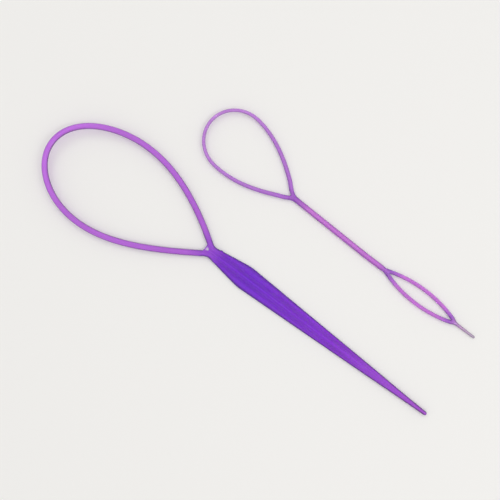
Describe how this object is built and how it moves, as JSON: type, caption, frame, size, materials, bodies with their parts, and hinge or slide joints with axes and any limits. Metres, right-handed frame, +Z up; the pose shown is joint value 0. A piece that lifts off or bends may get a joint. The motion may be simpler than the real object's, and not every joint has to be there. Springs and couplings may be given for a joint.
{
  "type": "pull-through hair styling loop set",
  "caption": "Large and small translucent plastic hair loops for pull-through ponytails: a sprung loop on a tapered ribbed blade, and a loop on a slim stem with an eye and prong.",
  "frame": {"origin": "middle of the footprint of the two tools lying side by side, on the surface that they lie on", "axes": "+X along the large tool towards its tip, +Y from the large tool to the small one, +Z up from the surface"},
  "size_m": [0.2528, 0.1078, 0.0068],
  "materials": {
    "large_plastic": "glossy translucent violet",
    "small_plastic": "glossy translucent orchid purple"
  },
  "bodies": {
    "large_handle": {"large_blade": "large_plastic", "large_throat": "large_plastic"},
    "large_loop": {"large_loop": "large_plastic"},
    "small_handle": {"small_throat": "small_plastic", "small_stem": "small_plastic", "small_eye": "small_plastic", "small_prong": "small_plastic"},
    "small_loop": {"small_loop": "small_plastic"}
  },
  "joints": [
    {"name": "large_loop_flex", "type": "hinge", "parent": "large_handle", "child": "large_loop", "pos_m": [-0.03468, -0.02117, 0.0029], "axis": [0, 1, 0], "range_deg": [0, 40], "stiffness_Nm_per_rad": 0.2},
    {"name": "small_tool_lift", "type": "slide", "parent": "large_handle", "child": "small_handle", "axis": [0, 0, 1], "range_m": [0, 0.05]},
    {"name": "small_loop_flex", "type": "hinge", "parent": "small_handle", "child": "small_loop", "pos_m": [-0.01337, 0.03032, 0.0022], "axis": [0.0346, 0.9994, 0], "range_deg": [0, 40], "stiffness_Nm_per_rad": 0.09}
  ]
}
